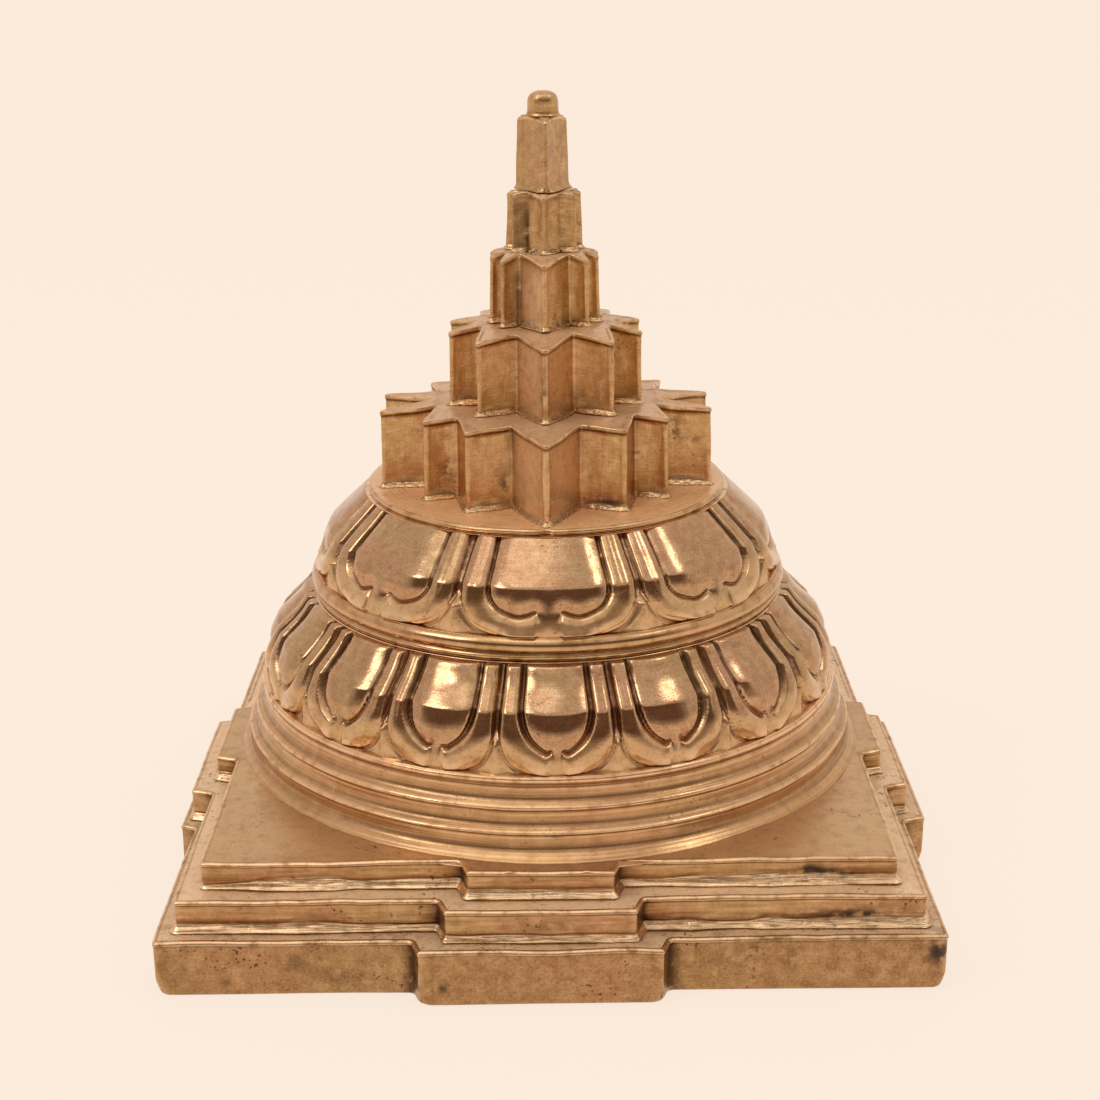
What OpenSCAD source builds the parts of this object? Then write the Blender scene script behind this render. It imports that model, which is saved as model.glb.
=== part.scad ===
// Stepped yantra in cast bronze. A square plinth of three steps with gates carries a ring moulding,
// two lotuses, a round platform and five pointed tiers, with a knob on top.
// Millimetres, +Z up, the front faces -Y, and the origin is the centre of the underside.

/* [Plinth] */
// Width of the lowest slab across its faces
slab_w = 100; // [92:0.5:130]
// Height of the lowest slab
slab_h = 7.9; // [4:0.1:14]
// Width of the middle step across its faces
middle_w = 95.4; // [86:0.1:120]
// Height of the middle step
middle_h = 4.4; // [3:0.1:9]
// Width of the upper step across its faces
upper_w = 89; // [80:0.1:110]
// Height of the upper step
upper_h = 3.7; // [3:0.1:9]

/* [Gates] */
// How far each gate stands out from the face of its step
gate_out = 3.2; // [1:0.1:6]
// Width of the front and back gates of the slab
slab_gate_w = 31; // [16:0.1:50]
// Width of the front and back gates of the middle step
middle_gate_w = 24.3; // [14:0.1:46]
// Width of the front and back gates of the upper step
upper_gate_w = 18.8; // [10:0.1:42]
// Width of the left and right gates of the slab
slab_side_gate_w = 34.5; // [16:0.1:50]
// Width of the left and right gates of the middle step
middle_side_gate_w = 25; // [14:0.1:46]
// Width of the left and right gates of the upper step
upper_side_gate_w = 17.5; // [10:0.1:42]
// Width of the sloped cheek at each side of a gate
gate_cheek = 1; // [0.3:0.1:3]
// Sideways place of the front gates, which were cut a little left of centre
front_gate_x = -1.2; // [-4:0.1:4]
// Place from front to back of the side gates of the two upper steps, cut towards the front
side_gate_y = -3; // [-6:0.1:6]

/* [Ring moulding] */
// Radius of the moulding at its foot
ring_foot_r = 44.4; // [41:0.1:50]
// Height of one ring
ring_h = 2.85; // [2:0.05:4]
// Step inwards from one ring to the next
ring_tread = 1.35; // [1.3:0.05:2]
// Depth of the cove under each bead
ring_cove = 1.3; // [0.8:0.05:1.3]
// Radius of each bead
ring_bead_r = 0.7; // [0.4:0.05:0.9]
// Extra height of the flare at the moulding's foot
ring_flare_h = 1.3; // [0.5:0.1:3]

/* [Sixteen-petal lotus] */
// Height of the lower lotus
lower_h = 12.4; // [10:0.1:18]
// Radius of the lower lotus at its foot
lower_foot_r = 40.1; // [36:0.1:41]
// Radius of the lower lotus where its shoulder starts
lower_shoulder_r = 40.4; // [38:0.1:43]
// Height above the foot where the shoulder of the lower lotus starts
lower_shoulder_z = 4.8; // [3:0.1:8]
// Radius of the lower lotus at its top
lower_top_r = 33.9; // [32:0.1:37]
// Roundness of the lower lotus's shoulder, where 1 is a straight slope
lower_round = 1.5; // [1:0.1:3]
// Turn of the lower petals from the front towards the right, in degrees
lower_turn = 1.5; // [-11:0.1:11]
// Width of a lower petal at its foot
lower_petal_foot_w = 6.2; // [3:0.1:10]
// Height over which a lower petal widens from its foot
lower_end_h = 6.8; // [4:0.1:8]
// Depth of the channel between petals of the lower lotus
lower_groove = 1.1; // [0.4:0.1:2]
// Width of a lower petal's panel at the top
lower_panel_w = 8; // [5:0.1:9]
// Height of the lower end of that panel above the foot
lower_panel_z = 2.8; // [1.5:0.1:4]
// Height over which the lower end of that panel is rounded
lower_panel_end_h = 4.6; // [2:0.1:6]
// Depth of the line cut around that panel
lower_line = 0.8; // [0.3:0.1:1.2]

/* [Bead plate] */
// Radius of the plate over its beads
bead_plate_r = 33.8; // [31:0.1:36]
// Height of the plate
bead_plate_h = 3.3; // [2.8:0.1:5]
// Height of the plain neck below the beads
bead_plate_neck_h = 0.8; // [0.3:0.1:1.4]

/* [Eight-petal lotus] */
// Height of the upper lotus
eight_h = 11.1; // [8:0.1:16]
// Radius of the upper lotus at its foot
eight_foot_r = 33; // [30:0.1:33.4]
// Radius of the upper lotus where its shoulder starts
eight_shoulder_r = 32.2; // [30:0.1:34]
// Height above the foot where the shoulder of the upper lotus starts
eight_shoulder_z = 2.4; // [2:0.1:7]
// Radius of the upper lotus at its top
eight_top_r = 25.2; // [22:0.1:28]
// Roundness of the upper lotus's shoulder, where 1 is a straight slope
eight_round = 1.7; // [1:0.1:3]
// Turn of the upper petals from the front towards the right, in degrees
eight_turn = 0.3; // [-22:0.1:22]
// Width of an upper petal at its foot
eight_petal_foot_w = 15.5; // [8:0.1:18]
// Height over which an upper petal widens from its foot
eight_end_h = 5; // [3:0.1:7]
// Depth of the channel between petals of the upper lotus
eight_groove = 1.2; // [0.4:0.1:2]
// Width of an upper petal's panel at the top
eight_panel_w = 13; // [8:0.1:14]
// Height of the lower end of that panel above the foot
eight_panel_z = 2.3; // [1.5:0.1:4]
// Height over which the lower end of that panel is rounded
eight_panel_end_h = 3.2; // [2:0.1:5]
// Depth of the line cut around that panel
eight_line = 0.8; // [0.3:0.1:1.2]

/* [Petal carving] */
// Width of the lines around the panels and of the channels between petals
carving_w = 0.8; // [0.4:0.05:1]
// Width of the rib of the petal behind, seen between two petals
rib_w = 1; // [0.6:0.1:1.6]

/* [Platform] */
// Radius of the round platform
platform_r = 25.3; // [22:0.1:30]
// Height of the round platform
platform_h = 0.9; // [0.5:0.1:3]

/* [Fourteen-point tier] */
// Radius of the front, back and broad side points
fourteen_r = 24; // [20:0.1:25]
// Radius of the shorter points between them
fourteen_short_r = 20.1; // [18:0.1:22]
// Radius of the notches
fourteen_notch_r = 15.8; // [13:0.1:17]
// Height of the tier at its middle
fourteen_h = 11.6; // [6:0.1:18]
// Fall of the top face from its middle to the points
fourteen_fall = 0.6; // [0.2:0.1:2]

/* [Outer ten-point tier] */
// Radius of the front and back points
outer_ten_r = 15.2; // [12:0.1:17]
// Radius of the side points
outer_ten_side_r = 14.3; // [11:0.1:16]
// Radius of the notches
outer_ten_notch_r = 9.5; // [8:0.1:11]
// Height of the tier at its middle
outer_ten_h = 11.1; // [6:0.1:18]
// Fall of the top face from its middle to the points
outer_ten_fall = 1.1; // [0.2:0.1:2]

/* [Inner ten-point tier] */
// Radius of the front and back points
inner_ten_r = 8.7; // [7:0.1:10]
// Radius of the side points
inner_ten_side_r = 8.2; // [6.5:0.1:9.5]
// Radius of the notches
inner_ten_notch_r = 5.6; // [4.6:0.1:6]
// Height of the tier at its middle
inner_ten_h = 9.8; // [6:0.1:16]
// Fall of the top face from its middle to the points
inner_ten_fall = 0.8; // [0.2:0.1:2]

/* [Eight-point tier] */
// Radius of the points
eight_point_r = 5.4; // [4.8:0.05:6]
// Radius of the notches
eight_point_notch_r = 3.7; // [3.2:0.1:4.2]
// Height of the tier at its middle
eight_point_h = 8.1; // [5:0.1:14]
// Fall of the top face from its middle to the points
eight_point_fall = 0.3; // [0.1:0.1:1]

/* [Triangle tier] */
// Radius of the three edges at the foot
triangle_foot_r = 4.2; // [3.6:0.1:4.6]
// Radius of the three edges at the top
triangle_top_r = 3.6; // [3.2:0.1:4]
// Height of the tier at its middle
triangle_h = 9.9; // [6:0.1:16]
// Fall of the top face from its middle to the edges
triangle_fall = 0.6; // [0.1:0.1:1.2]

/* [Knob] */
// Radius of the knob
knob_r = 2.15; // [1.6:0.05:2.6]
// Height of the knob
knob_h = 3.1; // [2:0.1:6]
// Radius of the rounded rim of the knob
knob_round = 1.1; // [0.4:0.1:1.4]

/* [Register pegs] */
// Side of the peg under the steps, the moulding, the lower lotus, the bead plate and the platform
broad_peg_w = 10; // [8:0.1:10.4]
// Side of the peg under the upper lotus and the two lowest pointed tiers
tier_peg_w = 6; // [4:0.1:7]
// Side of the peg under the inner ten-point tier
inner_peg_w = 4; // [3:0.1:5]
// Side of the peg under the eight-point tier
eight_peg_w = 2.6; // [2:0.1:3.2]
// Side of the pegs under the triangle tier and the knob
fine_peg_w = 1.6; // [1:0.1:1.7]
// Length of a peg
peg_h = 2; // [1:0.1:2.4]
// Length of the platform's peg
platform_peg_h = 4; // [3.4:0.1:6]
// Clearance at each side of a peg
peg_gap = 0.1; // [0.05:0.01:0.2]
// Clearance below a peg
peg_end_gap = 0.3; // [0.1:0.05:0.5]

/* [Hidden] */
$fn = 96;
ring_count = 3;
lower_petals = 16;
eight_petals = 8;
// Depth at the lip of a carved line, as a share of the line's depth
carving_lip = 0.35;
// Least spacing of the points across half a petal, as a share of its width
least_share = 0.03;
// Strips up a petal below its panel, up the rounded end of the panel and above that
foot_strips = 2;
end_strips = 4;
upper_strips = 3;
arc_step = 15;
// Overlap that makes a peg one solid with its piece, and a cut reach past a face
lap = 0.5;
// Flat seat left bare around the tier that stands on a sloping top face
seat_margin = 0.2;
bronze = "#b58150";
bronze_light = "#c79663";

// Heights of the seats, each worked out from the pieces below it
middle_z = slab_h;
upper_z = middle_z + middle_h;
ring_z = upper_z + upper_h;
ring_total_h = ring_flare_h + ring_count * ring_h;
lower_z = ring_z + ring_total_h;
bead_plate_z = lower_z + lower_h;
eight_z = bead_plate_z + bead_plate_h;
platform_z = eight_z + eight_h;
fourteen_z = platform_z + platform_h;
outer_ten_z = fourteen_z + fourteen_h;
inner_ten_z = outer_ten_z + outer_ten_h;
eight_point_z = inner_ten_z + inner_ten_h;
triangle_z = eight_point_z + eight_point_h;
knob_z = triangle_z + triangle_h;

// A quarter of each pointed outline, as [degrees from the front, radius]
fourteen_quarter = [
    [0, fourteen_r], [17, fourteen_notch_r], [32, fourteen_short_r], [50, fourteen_notch_r],
    [56, fourteen_short_r], [73.5, fourteen_notch_r], [78, fourteen_r], [90, fourteen_notch_r]
];
outer_ten_quarter = [
    [0, outer_ten_r], [24, outer_ten_notch_r], [40, outer_ten_side_r],
    [67, outer_ten_notch_r], [71.5, outer_ten_side_r], [90, outer_ten_notch_r]
];
inner_ten_quarter = [
    [0, inner_ten_r], [38, inner_ten_notch_r], [47, inner_ten_side_r],
    [69, inner_ten_notch_r], [75, inner_ten_side_r], [90, inner_ten_notch_r]
];
eight_point_quarter = [
    [0, eight_point_r], [36, eight_point_notch_r], [56, eight_point_r],
    [74, eight_point_notch_r], [90, eight_point_r]
];

// Place at an angle from the front, counted towards the right
function polar(angle, r) = [r * sin(angle), -r * cos(angle)];

// Right half of a pointed outline, from its quarter mirrored to the back
function right_half(quarter) = concat(
    quarter,
    [for (i = [len(quarter) - 1 : -1 : 0]) if (quarter[i][0] < 90) [180 - quarter[i][0], quarter[i][1]]]
);

// Whole pointed outline, from the right half mirrored to the left
function pointed_outline(quarter) =
    let (right = right_half(quarter))
    [for (p = concat(right, [for (i = [len(right) - 2 : -1 : 1]) [360 - right[i][0], right[i][1]]]))
        polar(p[0], p[1])];

// Outline of a square step with a gate on each side: front, right, back and left
function step_outline(w, gate_w, side_w, side_y) = [
    for (side = [0 : 3])
        let (half = (side % 2 == 0 ? gate_w : side_w) / 2)
        let (x = [front_gate_x, side_y, 0, -side_y][side])
        for (p = [
            [-w / 2, -w / 2],
            [x - half - gate_cheek, -w / 2],
            [x - half, -w / 2 - gate_out],
            [x + half, -w / 2 - gate_out],
            [x + half + gate_cheek, -w / 2]
        ])
            [p[0] * cos(90 * side) - p[1] * sin(90 * side), p[0] * sin(90 * side) + p[1] * cos(90 * side)]
];

// Radius of a lotus at a height, a curved foot below a shoulder that leans in to the top
function lotus_profile(z, h, foot_r, shoulder_r, shoulder_z, top_r, roundness) =
    z < shoulder_z
        ? shoulder_r - (shoulder_r - foot_r) * pow(1 - z / shoulder_z, 2)
        : top_r + (shoulder_r - top_r) * (1 - pow((z - shoulder_z) / (h - shoulder_z), roundness));

// Heights of the rows of points up a lotus, close together round the lower end of the panels
function lotus_rows(h, panel_z, panel_end_h) =
    let (foot_h = panel_z - carving_w / 2)
    let (end_z = panel_z + panel_end_h)
    concat(
        [for (i = [0 : foot_strips]) foot_h * i / foot_strips],
        [for (i = [0 : end_strips]) panel_z + panel_end_h * (1 - cos(90 * i / end_strips))],
        [for (i = [1 : upper_strips]) end_z + (h - end_z) * i / upper_strips]
    );

// Half a petal at a height, from its middle to midway to the next one, as [share of the way, depth].
// The panel, a line around it, a rounded border, the channel and the rib behind it follow in turn.
function petal_half(z, half_pitch, foot, end_h, groove, panel, panel_z, panel_end_h, line) =
    let (half_w = carving_w / 2 / half_pitch)
    let (rise = min(1, max(0, (z - panel_z) / panel_end_h)))
    let (inner = panel * sqrt(1 - pow(1 - rise, 2)))
    let (outer = foot + (1 - rib_w / 2 / half_pitch - foot) * sin(90 * min(1, z / end_h)))
    let (under = line * max(0, 1 - abs(z - panel_z) / (carving_w / 2)))
    let (cut = z < panel_z ? under : line)
    let (rib = groove * carving_lip)
    [
        [0, under],
        [max(least_share, inner / 2), under],
        [max(2 * least_share, inner - half_w), max(under, cut * carving_lip)],
        [max(3 * least_share, inner), cut],
        [max(4 * least_share, inner + half_w), max(under, cut * carving_lip)],
        [(max(4 * least_share, inner + half_w) + outer - half_w) / 2, 0],
        [outer - half_w, groove * carving_lip],
        [outer, groove],
        [min(outer + half_w, (1 + outer) / 2), (groove + rib) / 2],
        [1, rib]
    ];

// Closed lotus body, with a grid of points around it and up it that follows the carving of its petals
module lotus_body(
    petals, h, foot_r, shoulder_r, shoulder_z, top_r, roundness, turn,
    petal_foot_w, end_h, groove, panel_w, panel_z, panel_end_h, line
) {
    rows = lotus_rows(h, panel_z, panel_end_h);
    foot = petal_foot_w / 2 / (PI * foot_r / petals);
    panel = panel_w / 2 / (PI * top_r / petals);
    rings = [
        for (z = rows)
            let (body_r = lotus_profile(z, h, foot_r, shoulder_r, shoulder_z, top_r, roundness))
            let (half_pitch = PI * body_r / petals)
            let (half = petal_half(z, half_pitch, foot, end_h, groove, panel, panel_z, panel_end_h, line))
            let (left = [for (i = [len(half) - 1 : -1 : 1]) [-half[i][0], half[i][1]]])
            let (right = [for (i = [0 : len(half) - 2]) half[i]])
            [
                for (petal = [0 : petals - 1])
                    for (p = concat(left, right))
                        [each polar(turn + 360 / petals * (petal + p[0] / 2), body_r - p[1]), z]
            ]
    ];
    around = len(rings[0]);
    last = len(rows) - 1;
    sides = [
        for (row = [0 : last - 1])
            for (i = [0 : around - 1])
                let (a = row * around + i)
                let (b = row * around + (i + 1) % around)
                each [[a, a + around, b + around], [a, b + around, b]]
    ];
    underside = [[for (i = [0 : around - 1]) i]];
    top = [[for (i = [around - 1 : -1 : 0]) last * around + i]];
    polyhedron([for (ring = rings) each ring], concat(sides, underside, top));
}

// Square peg that hangs below a seat
module peg(w, h) {
    translate([-w / 2, -w / 2, -h])
        cube([w, w, h + lap]);
}

// Square socket, open at the top, for a peg of the given size
module socket(top_z, w, h) {
    side = w + 2 * peg_gap;
    depth = h + peg_end_gap;
    translate([-side / 2, -side / 2, top_z - depth])
        cube([side, side, depth + lap]);
}

// Square step with gates
module step_body(w, h, gate_w, side_w, side_y) {
    linear_extrude(h)
        polygon(step_outline(w, gate_w, side_w, side_y));
}

// Pointed tier whose top face is flat under the next tier and falls away to the points
module pointed_body(quarter, h, fall, point_r, seat_r) {
    reach = point_r + lap;
    fall_at_reach = fall * (reach - seat_r) / (point_r - seat_r);
    intersection() {
        linear_extrude(h)
            polygon(pointed_outline(quarter));
        rotate_extrude()
            polygon([[0, 0], [reach, 0], [reach, h - fall_at_reach], [seat_r, h], [0, h]]);
    }
}

module plinth_slab() {
    color(bronze)
        difference() {
            step_body(slab_w, slab_h, slab_gate_w, slab_side_gate_w, 0);
            socket(slab_h, broad_peg_w, peg_h);
        }
}

module middle_step() {
    color(bronze)
        translate([0, 0, middle_z])
            difference() {
                union() {
                    step_body(middle_w, middle_h, middle_gate_w, middle_side_gate_w, side_gate_y);
                    peg(broad_peg_w, peg_h);
                }
                socket(middle_h, broad_peg_w, peg_h);
            }
}

module upper_step() {
    color(bronze)
        translate([0, 0, upper_z])
            difference() {
                union() {
                    step_body(upper_w, upper_h, upper_gate_w, upper_side_gate_w, side_gate_y);
                    peg(broad_peg_w, peg_h);
                }
                socket(upper_h, broad_peg_w, peg_h);
            }
}

// Profile of the ring moulding: for each ring a cove that sweeps in and up, then a round bead
function ring_profile() = [
    for (i = [0 : ring_count - 1])
        let (r = ring_foot_r - i * ring_tread)
        let (z = i == 0 ? 0 : ring_flare_h + i * ring_h)
        let (top = ring_flare_h + (i + 1) * ring_h)
        let (cove_h = top - 2 * ring_bead_r - z)
        each concat(
            [for (a = [0 : arc_step : 90]) [r - ring_cove * sin(a), z + cove_h * (1 - cos(a))]],
            [for (a = [-90 + arc_step : arc_step : 90])
                [r - ring_cove + ring_bead_r * cos(a), top - ring_bead_r + ring_bead_r * sin(a)]]
        )
];

module ring_moulding() {
    color(bronze_light)
        translate([0, 0, ring_z])
            difference() {
                union() {
                    rotate_extrude()
                        polygon(concat([[0, 0]], ring_profile(), [[0, ring_total_h]]));
                    peg(broad_peg_w, peg_h);
                }
                socket(ring_total_h, broad_peg_w, peg_h);
            }
}

module sixteen_petal_lotus() {
    color(bronze_light)
        translate([0, 0, lower_z])
            difference() {
                union() {
                    lotus_body(lower_petals, lower_h, lower_foot_r, lower_shoulder_r, lower_shoulder_z,
                        lower_top_r, lower_round, lower_turn, lower_petal_foot_w, lower_end_h, lower_groove,
                        lower_panel_w, lower_panel_z, lower_panel_end_h, lower_line);
                    peg(broad_peg_w, peg_h);
                }
                socket(lower_h, broad_peg_w, peg_h);
            }
}

// Profile of the bead plate: a plain neck, then two round beads, one above the other
function bead_plate_profile() =
    let (r = (bead_plate_h - bead_plate_neck_h) / 4)
    concat(
        [[bead_plate_r - r, 0]],
        [for (i = [0, 1]) for (a = [-90 + i * arc_step : arc_step : 90])
            [bead_plate_r - r + r * cos(a), bead_plate_neck_h + (1 + 2 * i) * r + r * sin(a)]]
    );

module bead_plate() {
    color(bronze_light)
        translate([0, 0, bead_plate_z])
            difference() {
                union() {
                    rotate_extrude()
                        polygon(concat([[0, 0]], bead_plate_profile(), [[0, bead_plate_h]]));
                    peg(broad_peg_w, peg_h);
                }
                socket(bead_plate_h, tier_peg_w, peg_h);
            }
}

module eight_petal_lotus() {
    color(bronze_light)
        translate([0, 0, eight_z])
            difference() {
                union() {
                    lotus_body(eight_petals, eight_h, eight_foot_r, eight_shoulder_r, eight_shoulder_z,
                        eight_top_r, eight_round, eight_turn, eight_petal_foot_w, eight_end_h, eight_groove,
                        eight_panel_w, eight_panel_z, eight_panel_end_h, eight_line);
                    peg(tier_peg_w, peg_h);
                }
                socket(eight_h, broad_peg_w, platform_peg_h);
            }
}

module round_platform() {
    color(bronze)
        translate([0, 0, platform_z])
            difference() {
                union() {
                    cylinder(h = platform_h, r = platform_r);
                    peg(broad_peg_w, platform_peg_h);
                }
                socket(platform_h, tier_peg_w, peg_h);
            }
}

module fourteen_point_tier() {
    color(bronze)
        translate([0, 0, fourteen_z])
            difference() {
                union() {
                    pointed_body(fourteen_quarter, fourteen_h, fourteen_fall, fourteen_r,
                        outer_ten_r + seat_margin);
                    peg(tier_peg_w, peg_h);
                }
                socket(fourteen_h, tier_peg_w, peg_h);
            }
}

module outer_ten_point_tier() {
    color(bronze)
        translate([0, 0, outer_ten_z])
            difference() {
                union() {
                    pointed_body(outer_ten_quarter, outer_ten_h, outer_ten_fall, outer_ten_r,
                        inner_ten_r + seat_margin);
                    peg(tier_peg_w, peg_h);
                }
                socket(outer_ten_h, inner_peg_w, peg_h);
            }
}

module inner_ten_point_tier() {
    color(bronze)
        translate([0, 0, inner_ten_z])
            difference() {
                union() {
                    pointed_body(inner_ten_quarter, inner_ten_h, inner_ten_fall, inner_ten_r,
                        eight_point_r + seat_margin);
                    peg(inner_peg_w, peg_h);
                }
                socket(inner_ten_h, eight_peg_w, peg_h);
            }
}

module eight_point_tier() {
    color(bronze)
        translate([0, 0, eight_point_z])
            difference() {
                union() {
                    pointed_body(eight_point_quarter, eight_point_h, eight_point_fall, eight_point_r,
                        triangle_foot_r + seat_margin);
                    peg(eight_peg_w, peg_h);
                }
                socket(eight_point_h, fine_peg_w, peg_h);
            }
}

// Three-sided tier that narrows upwards, with an edge to the front
module triangle_tier() {
    reach = triangle_foot_r + lap;
    seat_r = knob_r + seat_margin;
    fall_at_reach = triangle_fall * (reach - seat_r) / (triangle_top_r - seat_r);
    color(bronze)
        translate([0, 0, triangle_z])
            difference() {
                union() {
                    intersection() {
                        rotate(-90)
                            cylinder(h = triangle_h, r1 = triangle_foot_r, r2 = triangle_top_r, $fn = 3);
                        rotate_extrude()
                            polygon([[0, 0], [reach, 0], [reach, triangle_h - fall_at_reach],
                                [seat_r, triangle_h], [0, triangle_h]]);
                    }
                    peg(fine_peg_w, peg_h);
                }
                socket(triangle_h, fine_peg_w, peg_h);
            }
}

module bindu_knob() {
    profile = concat(
        [[0, 0], [knob_r, 0]],
        [for (a = [0 : arc_step : 90])
            [knob_r - knob_round + knob_round * cos(a), knob_h - knob_round + knob_round * sin(a)]],
        [[0, knob_h]]
    );
    color(bronze_light)
        translate([0, 0, knob_z])
            union() {
                rotate_extrude()
                    polygon(profile);
                peg(fine_peg_w, peg_h);
            }
}

plinth_slab();
middle_step();
upper_step();
ring_moulding();
sixteen_petal_lotus();
bead_plate();
eight_petal_lotus();
round_platform();
fourteen_point_tier();
outer_ten_point_tier();
inner_ten_point_tier();
eight_point_tier();
triangle_tier();
bindu_knob();
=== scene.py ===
# Meru shri yantra in cast bronze: every piece is worked out here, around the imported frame
import math
import bpy
import numpy as np
from mathutils import Matrix, Vector


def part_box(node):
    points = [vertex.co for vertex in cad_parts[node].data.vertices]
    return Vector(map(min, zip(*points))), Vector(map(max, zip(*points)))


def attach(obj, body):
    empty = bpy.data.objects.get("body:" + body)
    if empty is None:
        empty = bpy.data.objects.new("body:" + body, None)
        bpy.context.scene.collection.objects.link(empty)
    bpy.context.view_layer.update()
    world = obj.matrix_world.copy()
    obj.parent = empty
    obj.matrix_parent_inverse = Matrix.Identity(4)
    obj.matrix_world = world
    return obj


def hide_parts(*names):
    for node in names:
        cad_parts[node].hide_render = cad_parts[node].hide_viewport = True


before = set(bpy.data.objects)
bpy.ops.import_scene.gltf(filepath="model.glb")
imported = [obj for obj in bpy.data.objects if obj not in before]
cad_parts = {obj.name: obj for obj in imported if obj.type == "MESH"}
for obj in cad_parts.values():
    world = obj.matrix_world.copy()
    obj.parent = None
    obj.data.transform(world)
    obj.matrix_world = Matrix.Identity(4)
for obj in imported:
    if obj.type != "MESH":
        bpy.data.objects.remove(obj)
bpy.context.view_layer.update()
mm = 0.001  # sizes below are millimetres, Blender's are metres
traces = ("hollow", "rim", "chisel", "stain", "level")  # wear, tarnish and painted light and shade that each body carries and its metal reads


# Low and high corners of a imported node in millimetres
def boxOf(node):
    low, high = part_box(node)
    return np.array(low) / mm, np.array(high) / mm


def topOf(node):
    return boxOf(node)[1][2]


# Smooth ramp from 0 at low to 1 at high
def ease(value, low, high):
    share = np.clip((value - low) / (high - low), 0, 1)
    return share * share * (3 - 2 * share)


# Bell of height 1 and the given half width around 0
def bell(value, width):
    return np.exp(-(value / width) ** 2)


# Value noise between -1 and 1: hashed corners of a cubic lattice, blended smoothly inside each cell
def lumps(points, size, seed):
    cell = points / size
    low = np.floor(cell).astype(np.int64)
    part = cell - low
    part = part * part * (3 - 2 * part)
    total = np.zeros(points.shape[:-1])
    for corner in np.ndindex(2, 2, 2):
        key = (low + corner) * (73856093, 19349663, 83492791)
        mixed = key[..., 0] ^ key[..., 1] ^ key[..., 2] ^ (seed * 97531)
        mixed = (mixed ^ (mixed >> 13)) * 1274126177
        value = ((mixed ^ (mixed >> 16)) & 65535) / 32767.5 - 1
        total += value * np.prod(np.where(corner, part, 1 - part), -1)
    return total


# Stains, and also painted sheen and painted shade, on the front: a bell over x and z for each, given as x, z, reach
# in x, reach in z and amount.
# A higher power makes the bell flatter and its edge crisper.
def stainsAndLightAt(rings, spots, power=2):
    total = np.zeros(rings.shape[:2])
    for x, z, wide, tall, amount in spots:
        away = np.abs((rings[..., 0] - x) / wide) ** power + np.abs((rings[..., 2] - z) / tall) ** power
        total += amount * np.exp(-away)
    return total * (rings[..., 1] < 0)


def newObject(name, data):
    made = bpy.data.objects.new(name, data)
    bpy.context.scene.collection.objects.link(made)
    return made


# Closed body from a stack of rings, bottom ring first: quads between rings and a fan over each end.
# Its surface map is in millimetres, along the widest ring and up the section.
def ringBody(name, rings, values):
    rows, count = rings.shape[:2]
    points = np.concatenate([rings.reshape(-1, 3), rings[[0, -1]].mean(1)]) * mm
    here = np.arange(rows * count).reshape(rows, count)
    after = np.roll(here, -1, 1)
    middle = np.full(count, rows * count)
    quads = np.stack([here[:-1], after[:-1], after[1:], here[1:]], -1)
    foot = np.stack([after[0], here[0], middle], -1)
    crown = np.stack([here[-1], after[-1], middle + 1], -1)
    corners = np.concatenate([quads.ravel(), foot.ravel(), crown.ravel()])
    sides = np.concatenate([np.full(quads[..., 0].size, 4), np.full(2 * count, 3)])

    around = np.linalg.norm(np.roll(rings, -1, 1) - rings, axis=-1)
    along = np.append(0, np.cumsum(around[around.sum(1).argmax()]))
    up = np.append(0, np.cumsum(np.linalg.norm(np.diff(rings, axis=0), axis=-1).mean(1)))
    left, right = along[:-1], along[1:]
    quadMap = np.zeros((rows - 1, count, 4, 2))
    quadMap[..., 0] = np.stack([left, right, right, left], -1)
    quadMap[..., 1] = np.stack([up[:-1], up[:-1], up[1:], up[1:]], -1)[:, None]
    footMap = np.stack([np.stack([right, left, left], -1), np.tile([0, 0, -1.0], (count, 1))], -1)
    crownMap = np.stack([np.stack([left, right, left], -1), up[-1] + np.tile([0, 0, 1.0], (count, 1))], -1)
    sheet = np.concatenate([part.reshape(-1, 2) for part in (quadMap, footMap, crownMap)])

    mesh = bpy.data.meshes.new(name)
    mesh.vertices.add(len(points))
    mesh.vertices.foreach_set("co", points.astype(np.float32).ravel())
    mesh.loops.add(len(corners))
    mesh.loops.foreach_set("vertex_index", corners.astype(np.int32))
    mesh.polygons.add(len(sides))
    mesh.polygons.foreach_set("loop_start", (np.cumsum(sides) - sides).astype(np.int32))
    mesh.update(calc_edges=True)
    mesh.polygons.foreach_set("use_smooth", np.ones(len(sides), bool))
    mesh.uv_layers.new(name="surface").data.foreach_set("uv", sheet.astype(np.float32).ravel())
    for key in traces:
        layer = mesh.attributes.new(key, "FLOAT", "POINT")
        value = np.clip(np.broadcast_to(values.get(key, 0.0), (rows, count)), 0, 1)
        value = np.append(value.ravel(), value[[0, -1]].mean(1))
        layer.data.foreach_set("value", value.astype(np.float32))
    mesh.validate()
    return newObject(name, mesh)


# Gives a body its metal, parents it to the root, and hides the node it stands for
def finishPiece(body, node, material):
    body.data.materials.append(material)
    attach(body, "root")
    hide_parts(node)
    print("made", body.name, len(body.data.polygons), "faces")


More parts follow.
